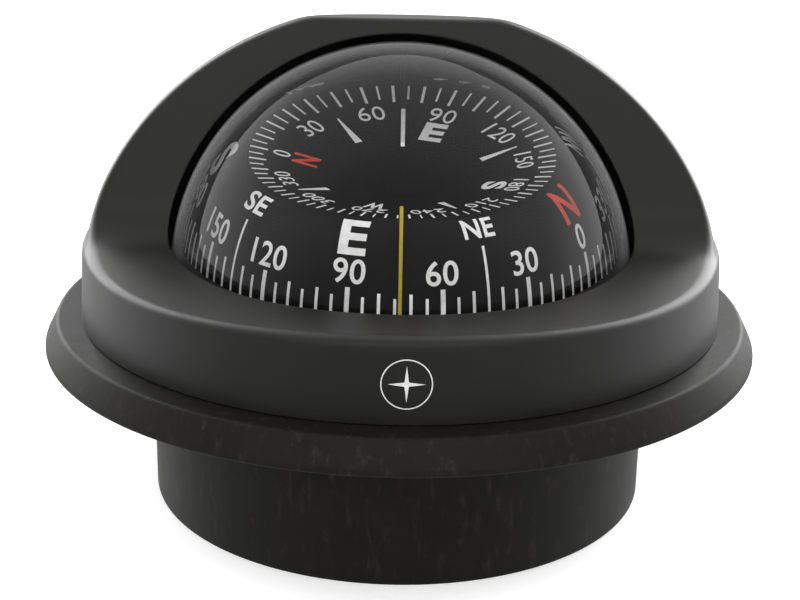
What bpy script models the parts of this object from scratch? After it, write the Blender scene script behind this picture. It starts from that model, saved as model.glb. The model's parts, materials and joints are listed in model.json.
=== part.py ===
"""Flush-mount marine steering compass: a liquid-filled acrylic dome under a moulded hood.

Sizes are in millimetres until MM turns them into metres. +Z is up, the bow is +Y, and the helmsman
looks from -Y. The origin is the centre of the can's lower rim, where the compass stands.
"""

import math

import bmesh
import bpy
from mathutils import Matrix, Vector

MM = 0.001
GAP = 0.3  # between pieces that touch

# Housing: the flange that rests on the deck, and the can that drops through it
CAN_R = 60.0
CAN_WALL = 2.5
FLANGE_R = 85.0
FLANGE_TOP_R = 82.0
FLANGE_BOTTOM = 37.7
FLANGE_TOP = 44.9
FLANGE_RIM = 1.3  # upright edge below the chamfer
MOUNT_HOLE_R = 2.2
MOUNT_HOLE_PCD_R = 68.0
DECK_GASKET = (80.0, 36.2, 37.4)  # outer radius, underside and top
LEDGE_R = 50.0
LEDGE_Z = (4.5, 8.0)
SPIGOT_R = (70.9, 73.2)  # upstand that the hood snaps over
SPIGOT_TOP = 49.5

# Capsule: dome and bowl share this centre, where every gimbal axis crosses
CENTRE_Z = 52.2
DOME_R = 55.3
DOME_WALL = 3.0
RIM_R = 65.0
BOWL_RIM_Z = (45.2, 47.7)
GASKET_Z = (48.0, 49.0)
DOME_FOOT_Z = (49.3, 51.8)
CLAMP_Z = (52.1, 55.1)
BOWL_OUTER_R = 54.8
BOWL_FLOOR_Z = (15.0, 17.5)
BOWL_BEND_R = 16.4
CLAMP_SCREW_PCD_R = 61.3

# Hood
COLLAR_R = 76.3
COLLAR_TOP = (75.5, 60.6)  # radius and height where the shoulder starts
SHOULDER_Z = 63.1
SHOULDER_R = 74.3
CROWN_R = 76.5
CROWN_HEIGHT = 67.95
CROWN_CENTRE_Z = 48.15
CROWN_FLAT = (2.0, 113.2)  # y and z of the flat's front edge
CROWN_FLAT_TILT = math.radians(6.8)
HOOD_BORE_R = 57.5
HOOD_WALL = 2.5
HOOD_SKIRT_TOP = 58.3  # underside of the apron, above the clamp ring
FACE_LEAN = math.radians(17.0)
FACE_POINT = (-8.9, 80.0)
APRON_LOW = (-50.0, 61.45)
APRON_CURVE = 0.00275
APRON_END_Y = -22.0
FACE_START_Z = 74.5

# Gimbals
ROLL_RING_R = (43.8, 47.3)
LUBBER_RING_R = (39.2, 42.3)
RING_Z = (49.7, 54.7)
PIN_R = 1.0
BUSH_BORE_R = 1.06
BUSH_R = 1.5

# Card
CARD_TOP_R = 27.7
CARD_TOP_DISH = ((27.7, 71.9), (21.4, 70.95), (14.9, 69.8), (9.0, 69.1), (0, 68.9))
CARD_TOP_THICK = 0.75
CARD_SKIRT = ((36.5, 52.4), (36.4, 55.5), (36.0, 58.6), (35.3, 61.8), (34.2, 65.2), (32.7, 68.2),
              (30.6, 70.8), (28.6, 71.9))
CARD_WALL = 0.9
CARD_SEAT = (25.6, 1.7, 2.6)  # inner radius of the seat under the disc, its top and underside below the rim
FLOAT_TOP = 68.0
JEWEL_Z = (64.6, 66.3)
CUP_TOP = 67.9
NEEDLE_TIP = 64.3
HEADING = math.radians(75.0)

# Compensator: two pairs of meshed rotors, a bar magnet on each
ROTOR_TEETH = 14
ROTOR_MODULE = 1.0
ROTOR_SPACING = 14.2
ROTOR_ROW_Y = 9.0
ROTOR_Z = (6.6, 9.0)
SHAFT_R = 2.3

BIG, MEDIUM, SMALL, TINY = 48, 36, 14, 8  # facets round a piece


def clear_scene():
    for item in list(bpy.data.objects):
        bpy.data.objects.remove(item)


def finish(name, colour, roughness, metallic=0.0, transmission=0.0):
    material = bpy.data.materials.new(name)
    material.use_nodes = True
    shader = material.node_tree.nodes["Principled BSDF"]
    shader.inputs["Base Color"].default_value = (*colour, 1.0)
    shader.inputs["Roughness"].default_value = roughness
    shader.inputs["Metallic"].default_value = metallic
    shader.inputs["Transmission Weight"].default_value = transmission
    return material


def axis_empty(name, x, y, z, parent=None):
    empty = bpy.data.objects.new(name, None)
    empty.location = Vector((x, y, z)) * MM
    empty.empty_display_size = 0.02
    bpy.context.scene.collection.objects.link(empty)
    if parent:
        empty.parent = parent
        empty.matrix_parent_inverse = world_of(parent).inverted()
    return empty


def world_of(item):
    """Matrix of an empty that has only a location, before the scene updates it."""
    return Matrix.Translation(item.location)


def make(name, bm, material=None, parent=None):
    """Turn a bmesh in millimetres, in the model's frame, into an object whose origin is its parent's."""
    bmesh.ops.recalc_face_normals(bm, faces=bm.faces)
    pivot = parent.location if parent else Vector()
    bmesh.ops.transform(bm, matrix=Matrix.Translation(-pivot) @ Matrix.Scale(MM, 4), verts=bm.verts)
    mesh = bpy.data.meshes.new(name)
    bm.to_mesh(mesh)
    bm.free()
    mesh.shade_smooth()
    mesh.set_sharp_from_angle(angle=math.radians(35))
    item = bpy.data.objects.new(name, mesh)
    bpy.context.scene.collection.objects.link(item)
    item.location = pivot
    if material:
        mesh.materials.append(material)
    if parent:
        item.parent = parent
        item.matrix_parent_inverse = world_of(parent).inverted()
    return item


def turned_mesh(profile, facets, bm=None, centre=(0.0, 0.0), matrix=Matrix()):
    """Closed solid turned about +Z from a closed (radius, z) outline; radius 0 is a point on the axis."""
    bm = bm or bmesh.new()
    rings = []
    for radius, z in profile:
        if radius == 0:
            rings.append([bm.verts.new(matrix @ Vector((centre[0], centre[1], z)))] * facets)
            continue
        angles = [math.tau * k / facets for k in range(facets)]
        spots = [(centre[0] + radius * math.cos(a), centre[1] + radius * math.sin(a), z) for a in angles]
        rings.append([bm.verts.new(matrix @ Vector(spot)) for spot in spots])
    for ring, after in zip(rings, rings[1:] + rings[:1]):
        for k in range(facets):
            corners = [ring[k], ring[(k + 1) % facets], after[(k + 1) % facets], after[k]]
            corners = list(dict.fromkeys(corners))
            if len(corners) > 2:
                bm.faces.new(corners)
    return bm


def turned(name, profile, facets, material, parent=None, centre=(0.0, 0.0)):
    return make(name, turned_mesh(profile, facets, centre=centre), material, parent)


def prism_mesh(outline, low, high, matrix=Matrix(), bm=None):
    """Flat outline in x and y, drawn up from low to high, then placed by the matrix."""
    bm = bm or bmesh.new()
    ends = [[bm.verts.new(matrix @ Vector((x, y, z))) for x, y in outline] for z in (low, high)]
    bm.faces.new(ends[0])
    bm.faces.new(ends[1])
    count = len(outline)
    for k in range(count):
        after = (k + 1) % count
        bm.faces.new([ends[0][k], ends[0][after], ends[1][after], ends[1][k]])
    return bm


def box_outline(x0, x1, y0, y1):
    return [(x0, y0), (x1, y0), (x1, y1), (x0, y1)]


def ring_profile(inner, outer, low, high):
    return [(inner, low), (outer, low), (outer, high), (inner, high)]


def rod_profile(radius, low, high):
    return [(0, low), (radius, low), (radius, high), (0, high)]


def arc(centre, radius, start, end, steps):
    """Points (r, z) on a circle, from one angle to the other, in degrees."""
    angles = [math.radians(start + (end - start) * k / steps) for k in range(steps + 1)]
    return [(centre[0] + radius * math.cos(a), centre[1] + radius * math.sin(a)) for a in angles]


def cutter(name, bm):
    item = make(name, bm)
    item.hide_render = True
    item.display_type = "WIRE"
    return item


def boolean(item, other, operation="DIFFERENCE"):
    modifier = item.modifiers.new(other.name, "BOOLEAN")
    modifier.operation = operation
    modifier.object = other


def hole_cutter(name, spots, radius, low, high, facets=TINY, bm=None):
    """Upright cylinders; a bmesh passed in already holds other shapes of the same cutter."""
    bm = bm or bmesh.new()
    for spot in spots:
        turned_mesh(rod_profile(radius, low, high), facets, bm, spot)
    return cutter(name, bm)


def around(radius, count, start=0.0):
    angles = [math.radians(start) + math.tau * k / count for k in range(count)]
    return [(radius * math.cos(a), radius * math.sin(a)) for a in angles]


def tube_mesh(points, radius, facets=8):
    """Round wire through points that all lie in the plane x = 0."""
    bm = bmesh.new()
    rings = []
    for k, point in enumerate(points):
        before, after = points[max(k - 1, 0)], points[min(k + 1, len(points) - 1)]
        along = (Vector(after) - Vector(before)).normalized()
        side = Vector((1, 0, 0))
        normal = along.cross(side)
        spots = [math.tau * n / facets for n in range(facets)]
        rim = [Vector(point) + radius * (side * math.cos(a) + normal * math.sin(a)) for a in spots]
        rings.append([bm.verts.new(spot) for spot in rim])
    for ring, after in zip(rings, rings[1:]):
        for n in range(facets):
            bm.faces.new([ring[n], ring[(n + 1) % facets], after[(n + 1) % facets], after[n]])
    bm.faces.new(rings[0])
    bm.faces.new(rings[-1])
    return bm


# Hood ---------------------------------------------------------------------------------------------


def crown_radius(z):
    return CROWN_R * math.sqrt(max(0.0, 1 - ((z - CROWN_CENTRE_Z) / CROWN_HEIGHT) ** 2))


def hood_profile(inset, low):
    """Collar wall, rounded shoulder and crown, moved in by the inset."""
    top_r, top_z = COLLAR_TOP
    points = [(0, low), (COLLAR_R - inset, low), (top_r - inset, top_z)]
    points += [(top_r - 0.3 - inset, top_z + 1.5), (SHOULDER_R - inset, SHOULDER_Z)]
    for k in range(1, 7):
        lift = math.radians(14 + 76 * k / 7)
        z = CROWN_CENTRE_Z + CROWN_HEIGHT * math.sin(lift)
        points.append((crown_radius(z) - inset * math.cos(lift), z - inset * math.sin(lift)))
    return points + [(0, CROWN_CENTRE_Z + CROWN_HEIGHT - inset)]


def front_outline(shift=0.0):
    """Side view (y, z) of what is open in front of the hood: apron, sweep and leaning face."""
    points = []
    for k in range(5):
        y = -95 + (APRON_END_Y + 95) * k / 4
        points.append(Vector((y, APRON_LOW[1] + APRON_CURVE * (y - APRON_LOW[0]) ** 2)))
    start = points[-1]
    slope = 2 * APRON_CURVE * (APRON_END_Y - APRON_LOW[0])
    lean = math.tan(FACE_LEAN)
    end = Vector((FACE_POINT[0] + (FACE_START_Z - FACE_POINT[1]) * lean, FACE_START_Z))
    corner_z = (start.y + slope * (end.x - start.x) - slope * lean * end.y) / (1 - slope * lean)
    corner = Vector((end.x + (corner_z - end.y) * lean, corner_z))
    for k in range(1, 7):
        t = k / 6
        points.append((1 - t) ** 2 * start + 2 * t * (1 - t) * corner + t * t * end)
    top = 130.0
    points.append(Vector((end.x + (top - end.y) * lean, top)))
    points.append(Vector((-95.0, top)))
    return [(p.x + shift, p.y - shift) for p in points]


def front_cutter(name, shift):
    """The front outline drawn across the hood; the matrix turns (x, y, z) into (z, x, y)."""
    swap = Matrix(((0, 0, 1, 0), (1, 0, 0, 0), (0, 1, 0, 0), (0, 0, 0, 1)))
    return cutter(name, prism_mesh(front_outline(shift), -95, 95, swap))


def crown_cutter(name, drop):
    y, z = CROWN_FLAT
    place = Matrix.Translation((0, y, z - drop)) @ Matrix.Rotation(-CROWN_FLAT_TILT, 4, "X")
    return cutter(name, prism_mesh(box_outline(-90, 90, -90, 90), 0, 30, place))


def ball_mesh(radius, facets):
    rows = arc((0, CENTRE_Z), radius, -78, 78, 14)
    return turned_mesh([(0, CENTRE_Z - radius)] + rows + [(0, CENTRE_Z + radius)], facets)


def build_hood(black):
    low = FLANGE_TOP + GAP
    hood = turned("hood", hood_profile(0, low), BIG, black)
    boolean(hood, crown_cutter("cut_crown", 0))
    boolean(hood, front_cutter("cut_front", 0))
    boolean(hood, cutter("cut_bore", ball_mesh(HOOD_BORE_R, BIG)))
    hollow = cutter("cut_hollow", turned_mesh(hood_profile(HOOD_WALL, low - 5), BIG))
    boolean(hollow, crown_cutter("keep_crown", HOOD_WALL))
    boolean(hollow, front_cutter("keep_front", HOOD_WALL))
    boolean(hollow, cutter("keep_bore", ball_mesh(HOOD_BORE_R + HOOD_WALL, BIG)))
    boolean(hood, hollow)
    snap, wall = SPIGOT_R[1] + 1.2, SPIGOT_R[1] + GAP
    skirt = [(0, low - 5), (wall, low - 5), (wall, 47.0), (snap, 47.4), (snap, 48.6), (wall, 49.0)]
    skirt += [(wall, HOOD_SKIRT_TOP), (0, HOOD_SKIRT_TOP)]
    boolean(hood, cutter("cut_skirt", turned_mesh(skirt, BIG)))
    window = prism_mesh(box_outline(-6, 6, 50, 62.5), 60, 66)
    boolean(hood, cutter("cut_lamp_window", window))


def build_lamp(black, red, green):
    case = make("lamp_housing", prism_mesh(box_outline(-8, 8, 61, 69), 58.8, 67.2), black)
    boolean(case, cutter("cut_lamp_housing", prism_mesh(box_outline(-6.5, 6.5, 55, 67.5), 60.3, 65.7)))
    make("lamp_lens", prism_mesh(box_outline(-5.7, 5.7, 58.4, 60.7), 60.6, 65.4), red)
    make("lamp_board", prism_mesh(box_outline(-6.1, 6.1, 65.8, 67.1), 60.7, 65.3), green)


# Housing ------------------------------------------------------------------------------------------


def build_housing(black, rubber, steel):
    bore = CAN_R - CAN_WALL
    chamfer = FLANGE_BOTTOM + FLANGE_RIM
    profile = [(bore, 0), (CAN_R - 1, 0), (CAN_R, 1), (CAN_R, FLANGE_BOTTOM), (FLANGE_R - 0.5, FLANGE_BOTTOM)]
    profile += [(FLANGE_R, FLANGE_BOTTOM + 0.5), (FLANGE_R, chamfer), (FLANGE_TOP_R + 0.3, FLANGE_TOP - 0.5)]
    profile += [(FLANGE_TOP_R - 0.3, FLANGE_TOP), (SPIGOT_R[1], FLANGE_TOP), (SPIGOT_R[1], 47.2)]
    profile += [(SPIGOT_R[1] + 0.7, 48), (SPIGOT_R[1], 48.8), (SPIGOT_R[1] - 0.5, SPIGOT_TOP)]
    profile += [(SPIGOT_R[0], SPIGOT_TOP), (SPIGOT_R[0], FLANGE_TOP), (bore, FLANGE_TOP)]
    profile += [(bore, LEDGE_Z[1] + 2), (LEDGE_R, LEDGE_Z[1]), (LEDGE_R, LEDGE_Z[0]), (bore, LEDGE_Z[0])]
    housing = turned("housing", profile, BIG, black)
    mounting = around(MOUNT_HOLE_PCD_R, 4, 45)
    boolean(housing, hole_cutter("cut_mounting_holes", mounting, MOUNT_HOLE_R, 30, 46))
    clamps = around(CLAMP_SCREW_PCD_R, 4)
    boolean(housing, hole_cutter("cut_clamp_holes", clamps, 1.8, 39.5, 46))
    base_spots = around(53.7, 4, 45)
    boolean(housing, hole_cutter("cut_ledge_holes", base_spots, 1.6, LEDGE_Z[0] - 1, LEDGE_Z[1] + 2))

    gasket = turned("deck_gasket", ring_profile(CAN_R + 1, *DECK_GASKET), MEDIUM, rubber)
    boolean(gasket, hole_cutter("cut_gasket_holes", mounting, MOUNT_HOLE_R, 30, 40))

    plate = turned("base_plate", rod_profile(bore - GAP, 2.0, LEDGE_Z[0] - GAP), MEDIUM, black)
    boolean(plate, hole_cutter("cut_plate_screws", base_spots, 1.6, 0, 6))
    boolean(plate, hole_cutter("cut_adjuster_access", drive_spots(), 2.7, 0, 6))
    boolean(plate, hole_cutter("cut_grommet_seat", [(0, 40)], 4.0, 0, 6, SMALL))
    for number, spot in enumerate(base_spots, 1):
        head = [(0, 0.4), (2.4, 0.4), (2.7, 1.0), (2.7, 1.7), (1.3, 1.7), (1.3, 7.8), (0, 7.8)]
        turned(f"base_screw_{number}", head, TINY, steel, centre=spot)
    grommet = [(2.0, 0.6), (5.0, 0.6), (5.0, 1.7), (3.7, 1.7), (3.7, 4.5), (5.0, 4.5), (4.4, 6.0), (2.0, 6.0)]
    turned("cable_grommet", grommet, SMALL, rubber, centre=(0, 40))


# Capsule ------------------------------------------------------------------------------------------


def build_capsule(black, clear, rubber, steel, brass):
    inner = DOME_R - DOME_WALL
    floor_low, floor_high = BOWL_FLOOR_Z
    bend = BOWL_BEND_R
    outer_bend = (BOWL_OUTER_R - bend - 2.5, floor_low + bend + 2.5)
    inner_bend = (inner - bend, floor_high + bend)
    bowl_profile = arc(outer_bend, bend + 2.5, -90, 0, 4) + [(BOWL_OUTER_R, BOWL_RIM_Z[0])]
    bowl_profile += [(RIM_R, BOWL_RIM_Z[0]), (RIM_R, BOWL_RIM_Z[1]), (inner, BOWL_RIM_Z[1]), (inner, 46.7)]
    bowl_profile += [(49.0, 46.7), (49.0, 45.0), (inner, 42.0)] + arc(inner_bend, bend, 0, -90, 4)
    bowl_profile += [(17.0, floor_high), (17.0, floor_low), (24.0, floor_low), (24.0, 12.0)]
    bowl_profile += [(26.5, 12.0), (26.5, floor_low)]
    bowl = turned("bowl", bowl_profile, MEDIUM, black)
    clamps = around(CLAMP_SCREW_PCD_R, 4)
    rim_holes = hole_cutter("cut_rim_holes", clamps, 1.8, 44, 57)
    filler = around(31.0, 1, 222)
    filler_hole = turned_mesh(rod_profile(2.6, 10, 20), TINY, centre=filler[0])
    boolean(bowl, hole_cutter("cut_bowl_holes", clamps, 1.8, 44, 57, bm=filler_hole))

    dome_profile = arc((0, CENTRE_Z), DOME_R, 0, 80, 6) + [(0, CENTRE_Z + DOME_R), (0, CENTRE_Z + inner)]
    dome_profile += arc((0, CENTRE_Z), inner, 80, 0, 6) + [(inner, DOME_FOOT_Z[0]), (RIM_R, DOME_FOOT_Z[0])]
    dome_profile += [(RIM_R, DOME_FOOT_Z[1]), (DOME_R, DOME_FOOT_Z[1])]
    dome = turned("dome", dome_profile, MEDIUM, clear)
    boolean(dome, rim_holes)

    gasket = turned("capsule_gasket", ring_profile(inner + 3.2, RIM_R - 0.5, *GASKET_Z), MEDIUM, rubber)
    boolean(gasket, rim_holes)
    ring = turned("clamp_ring", ring_profile(DOME_R + 1.2, RIM_R + 0.6, *CLAMP_Z), MEDIUM, black)
    boolean(ring, rim_holes)
    top = CLAMP_Z[1] + GAP
    for number, spot in enumerate(clamps, 1):
        screw = [(0, 40.0), (1.3, 40.0), (1.5, 41.0), (1.5, top), (2.8, top), (2.8, top + 1.2)]
        screw += [(2.0, top + 2.0), (0, top + 2.0)]
        turned(f"clamp_screw_{number}", screw, TINY, steel, centre=spot)

    wave = [(0, 14.0), (6, 14.0), (9, 12.8), (12, 14.0), (15, 12.8), (18, 13.8), (23.6, 13.8), (23.6, 14.7)]
    wave += [(17.6, 14.7), (15, 13.7), (12, 14.9), (9, 13.7), (6, 14.9), (0, 14.9)]
    turned("diaphragm", wave, 24, rubber)
    turned("diaphragm_ring", ring_profile(18.4, 23.6, 12.2, 13.5), 24, black)
    plug = [(0, 12.9), (3.8, 12.9), (3.8, 14.7), (2.3, 14.7), (2.3, 17.2), (0, 17.2)]
    turned("filler_plug", plug, SMALL, brass, centre=filler[0])


# Gimbals ------------------------------------------------------------------------------------------


def along_y(sign):
    """Turns +Z of a small turned piece to point out along y, at the height of the axes."""
    return Matrix.Translation((0, 0, CENTRE_Z)) @ Matrix.Rotation(-sign * math.pi / 2, 4, "X")


def along_x(sign):
    return Matrix.Translation((0, 0, CENTRE_Z)) @ Matrix.Rotation(sign * math.pi / 2, 4, "Y")


def cross_holes(name, radius, low, high, turn):
    bm = bmesh.new()
    for sign in (-1, 1):
        turned_mesh(rod_profile(radius, low, high), TINY, bm, matrix=turn(sign))
    return cutter(name, bm)


def build_carrier(black, brass):
    """Ring on the bowl's ledge, with a lug at each end of the roll axis."""
    ring = turned("gimbal_carrier", ring_profile(49.2, 52.0, 47.0, 49.2), MEDIUM, black)
    for sign, side in ((-1, "front"), (1, "rear")):
        y_low, y_high = sorted((sign * 49.3, sign * 51.6))
        lug = prism_mesh(box_outline(-3.4, 3.4, y_low, y_high), 47.6, 55.6)
        boolean(ring, cutter(f"add_lug_{side}", lug), "UNION")
        bush = turned_mesh(ring_profile(BUSH_BORE_R, BUSH_R, 48.9, 51.7), SMALL, matrix=along_y(sign))
        make(f"roll_bush_{side}", bush, brass)
    boolean(ring, cross_holes("cut_lug_holes", BUSH_R + GAP, 46, 54, along_y))


def build_roll_gimbal(black, steel, roll_axis):
    ring = turned("gimbal_ring", ring_profile(*ROLL_RING_R, *RING_Z), MEDIUM, black, roll_axis)
    boolean(ring, cross_holes("cut_roll_pins", PIN_R + GAP, 40, 49, along_y))
    boolean(ring, cross_holes("cut_pitch_pins", PIN_R + GAP, 40, 49, along_x))
    for sign, side in ((-1, "front"), (1, "rear")):
        pin = turned_mesh(rod_profile(PIN_R, 44.2, 51.4), SMALL, matrix=along_y(sign))
        make(f"roll_pin_{side}", pin, steel, roll_axis)
    for sign, side in ((-1, "left"), (1, "right")):
        pin = turned_mesh(rod_profile(PIN_R, 39.6, 46.9), SMALL, matrix=along_x(sign))
        make(f"pitch_pin_{side}", pin, steel, roll_axis)


def build_cradle(black, brass, steel, yellow, white, pitch_axis):
    """Lubber ring, ribs and hub in one moulding, and what is fixed to it."""
    cradle = turned("cradle", ring_profile(*LUBBER_RING_R, *RING_Z), MEDIUM, black, pitch_axis)
    half = [(41.4, 50.2), (39.6, 50.2), (37.0, 45.0), (12.0, 37.5)]
    low = [(12.0, 34.0), (39.2, 43.5)]
    rib = half + [(-x, z) for x, z in reversed(half)] + [(-x, z) for x, z in reversed(low)] + low
    upright = Matrix(((1, 0, 0, 0), (0, 0, 1, 0), (0, 1, 0, 0), (0, 0, 0, 1)))
    for name, turn in (("add_rib_across", 0.0), ("add_rib_along", math.pi / 2)):
        place = Matrix.Rotation(turn, 4, "Z") @ upright
        boolean(cradle, cutter(name, prism_mesh(rib, -1.5, 1.5, place)), "UNION")
    boolean(cradle, cutter("add_hub", turned_mesh(rod_profile(9.0, 31.0, 40.0), SMALL)), "UNION")
    boolean(cradle, cross_holes("cut_pitch_bushes", BUSH_R + GAP, 37, 45, along_x))
    for sign, side in ((-1, "left"), (1, "right")):
        bush = turned_mesh(ring_profile(BUSH_BORE_R, BUSH_R, 39.3, 42.6), SMALL, matrix=along_x(sign))
        make(f"pitch_bush_{side}", bush, brass, pitch_axis)
    weight = [(0, 22.5), (12.5, 22.5), (14.0, 24.0), (14.0, 29.5), (12.5, 30.7), (0, 30.7)]
    turned("ballast_weight", weight, 24, brass, pitch_axis)
    stem = [(0, 40.3), (3.2, 40.3), (3.2, 43.0), (2.0, 44.2), (1.7, 59.0), (1.2, 60.4), (0, 60.4)]
    turned("pivot_stem", stem, 16, brass, pitch_axis)
    needle = [(0, 60.7), (0.6, 60.7), (0.6, NEEDLE_TIP - 1.3), (0, NEEDLE_TIP)]
    turned("pivot_needle", needle, 10, steel, pitch_axis)
    front = [(0, -40.7, 55.0), (0, -39.2, 56.6), (0, -38.0, 61.0), (0, -36.6, 66.0), (0, -33.6, 70.8)]
    front += [(0, -29.6, 75.2)]
    make("lubber_line", tube_mesh(front, 0.4), yellow, pitch_axis)
    rear = [(0, 40.7, 55.0), (0, 39.4, 58.0), (0, 36.8, 66.0), (0, 33.6, 71.2), (0, 29.2, 74.2)]
    rear += [(0, 19.7, 72.9)]
    make("top_lubber_arm", tube_mesh(rear, 0.5), black, pitch_axis)
    make("top_lubber", prism_mesh(box_outline(-0.35, 0.35, 6.4, 18.8), 72.2, 73.0), white, pitch_axis)


# Card ---------------------------------------------------------------------------------------------


def build_card(card_black, black, magnet_grey, brass, sapphire, card_axis):
    dish = list(CARD_TOP_DISH)
    dish += [(r, z - CARD_TOP_THICK) for r, z in reversed(dish)]
    turned("card_top", dish, MEDIUM, card_black, card_axis)
    foot, rim = CARD_SKIRT[0], CARD_SKIRT[-1][1]
    seat_r, seat_top, seat_low = CARD_SEAT
    bore = CARD_TOP_R + GAP
    skirt = list(CARD_SKIRT) + [(bore, rim), (bore, rim - seat_top + 0.2), (seat_r, rim - seat_top + 0.2)]
    skirt += [(seat_r, rim - seat_low), (bore + 0.6, rim - seat_low)]
    skirt += [(r - CARD_WALL, z - 0.3) for r, z in reversed(CARD_SKIRT[1:-2])]
    skirt += [(foot[0] - CARD_WALL, foot[1])]
    turned("card_skirt", skirt, MEDIUM, card_black, card_axis)
    top = FLOAT_TOP
    shell = [(24, 62), (24, top - 1.2), (22.8, top), (9, top), (9, 62), (10, 62), (10, top - 1)]
    shell += [(22.4, top - 1), (23, top - 1.6), (23, 62)]
    turned("card_float", shell, 24, black, card_axis)
    carrier = [(6, 48), (17, 48), (17, 49), (7.5, 49), (7.5, 60.5), (10, 60.5), (10, 61.7), (6, 61.7)]
    turned("magnet_carrier", carrier, 24, black, card_axis)
    north = Matrix.Rotation(HEADING, 4, "Z")
    for name, x in (("magnet_left", -10.5), ("magnet_right", 10.5)):
        bar = prism_mesh(box_outline(x - 2, x + 2, -14, 14), 44.6, 47.7, north)
        make(name, bar, magnet_grey, card_axis)
    low, high = JEWEL_Z
    cup = [(1.6, low - 1.1), (2.4, low - 1.1), (2.4, CUP_TOP - 1.1), (4.0, CUP_TOP - 1.1), (4.0, CUP_TOP)]
    cup += [(0, CUP_TOP), (0, high + GAP), (1.6, high + GAP)]
    turned("jewel_cup", cup, 16, brass, card_axis)
    turned("jewel", rod_profile(1.3, low, high), 16, sapphire, card_axis)


# Compensator --------------------------------------------------------------------------------------


def drive_spots():
    return [(-ROTOR_SPACING / 2, -ROTOR_ROW_Y), (-ROTOR_SPACING / 2, ROTOR_ROW_Y)]


def rotor_outline(turn):
    """Blunt teeth with backlash, four points to a tooth."""
    pitch_r = ROTOR_MODULE * ROTOR_TEETH / 2
    tooth = math.tau / ROTOR_TEETH
    shape = ((pitch_r - 1.2, -0.27), (pitch_r + 0.85, -0.11), (pitch_r + 0.85, 0.11), (pitch_r - 1.2, 0.27))
    points = []
    for k in range(ROTOR_TEETH):
        for radius, across in shape:
            angle = turn + tooth * (k + across)
            points.append((radius * math.cos(angle), radius * math.sin(angle)))
    return points


def build_rotor(name, spot, turn, plastic, magnet_grey):
    axis = axis_empty(f"{name}_axis", *spot, ROTOR_Z[0])
    place = Matrix.Translation((*spot, 0))
    rotor = make(name, prism_mesh(rotor_outline(turn), *ROTOR_Z, place), plastic, axis)
    shaft = [(0, 4.7), (SHAFT_R, 4.7), (SHAFT_R, 8.0), (0, 8.0)]
    boolean(rotor, cutter(f"add_shaft_{name}", turned_mesh(shaft, SMALL, centre=spot)), "UNION")
    slot = prism_mesh(box_outline(-3, 3, -0.4, 0.4), 4.0, 5.7, place)
    boolean(rotor, cutter(f"cut_driver_slot_{name}", slot))
    groove = prism_mesh(box_outline(-5.3, 5.3, -1.3, 1.3), 8.0, 10.0, place)
    boolean(rotor, cutter(f"cut_magnet_groove_{name}", groove))
    bar = prism_mesh(box_outline(-5.0, 5.0, -1.0, 1.0), 8.3, 10.0, place)
    make(f"{name}_magnet", bar, magnet_grey, axis)


def build_compensator(plastic, magnet_grey, black):
    spots = [(sx * ROTOR_SPACING / 2, sy * ROTOR_ROW_Y) for sy in (-1, 1) for sx in (-1, 1)]
    walls = [(0, 4.5), (27, 4.5), (27, 10.2), (25, 10.2), (25, 6.2), (0, 6.2)]
    tray = turned("compensator_body", walls, 24, black)
    boolean(tray, hole_cutter("cut_rotor_bearings", spots, SHAFT_R + 0.1, 4, 7, SMALL))
    turned("compensator_cover", rod_profile(27, 10.5, 11.7), 24, black)
    tooth = math.tau / ROTOR_TEETH
    for row, (driven, idler) in zip(("ns", "ew"), (spots[:2], spots[2:])):
        build_rotor(f"rotor_{row}_drive", driven, 0.0, plastic, magnet_grey)
        build_rotor(f"rotor_{row}_idler", idler, tooth / 2, plastic, magnet_grey)


def main():
    clear_scene()
    bpy.context.scene.unit_settings.system = "METRIC"
    black = finish("black_plastic", (0.018, 0.018, 0.018), 0.5)
    card_black = finish("card_black", (0.01, 0.01, 0.01), 0.6)
    clear = finish("clear_acrylic", (1.0, 1.0, 1.0), 0.02, transmission=1.0)
    rubber = finish("black_rubber", (0.015, 0.015, 0.015), 0.85)
    steel = finish("stainless_steel", (0.6, 0.6, 0.6), 0.3, 1.0)
    brass = finish("brass", (0.62, 0.46, 0.2), 0.35, 1.0)
    magnet_grey = finish("magnet", (0.25, 0.25, 0.26), 0.4, 1.0)
    yellow = finish("lubber_yellow", (0.72, 0.52, 0.03), 0.5)
    white = finish("lubber_white", (0.85, 0.85, 0.85), 0.5)
    red = finish("lamp_red", (0.6, 0.02, 0.01), 0.15, transmission=0.6)
    green = finish("board_green", (0.02, 0.12, 0.04), 0.5)
    sapphire = finish("sapphire", (0.5, 0.02, 0.08), 0.05)
    nylon = finish("natural_nylon", (0.75, 0.73, 0.66), 0.5)

    build_hood(black)
    build_lamp(black, red, green)
    build_housing(black, rubber, steel)
    build_capsule(black, clear, rubber, steel, brass)
    build_carrier(black, brass)
    roll_axis = axis_empty("roll_axis", 0, 0, CENTRE_Z)
    pitch_axis = axis_empty("pitch_axis", 0, 0, CENTRE_Z, roll_axis)
    card_axis = axis_empty("card_axis", 0, 0, CENTRE_Z, pitch_axis)
    build_roll_gimbal(black, steel, roll_axis)
    build_cradle(black, brass, steel, yellow, white, pitch_axis)
    build_card(card_black, black, magnet_grey, brass, sapphire, card_axis)
    build_compensator(nylon, magnet_grey, black)


main()
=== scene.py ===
import json
import math

import bmesh
import bpy
import numpy as np
from mathutils import Matrix, Vector


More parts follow.
